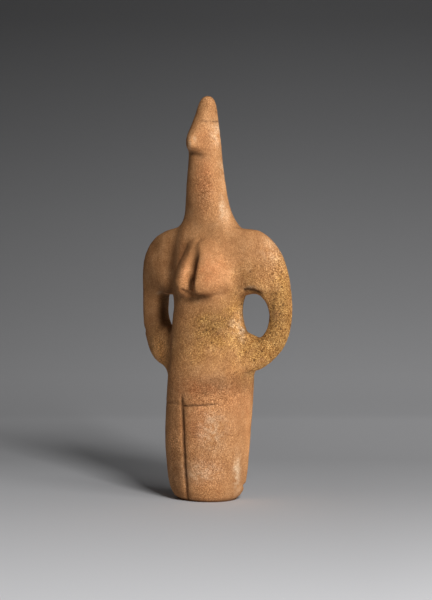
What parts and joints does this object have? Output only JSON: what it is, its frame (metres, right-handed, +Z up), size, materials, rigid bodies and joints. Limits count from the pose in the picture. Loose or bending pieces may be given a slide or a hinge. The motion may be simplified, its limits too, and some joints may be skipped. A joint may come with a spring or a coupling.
{
  "type": "cycladic figurine",
  "caption": "Carved stone figurine of a standing woman with a long neck, a beaked head, arms looped to the hips and a column for legs.",
  "frame": {"origin": "on the flat underside, under the axis of the neck", "axes": "+Z up along the neck, front towards -Y, +X towards the figurine's own left"},
  "size_m": [0.1338, 0.0563, 0.3],
  "materials": {
    "stone": "matt, weathered and patinated"
  },
  "bodies": {
    "root": {"figurine": "stone"}
  },
  "joints": []
}
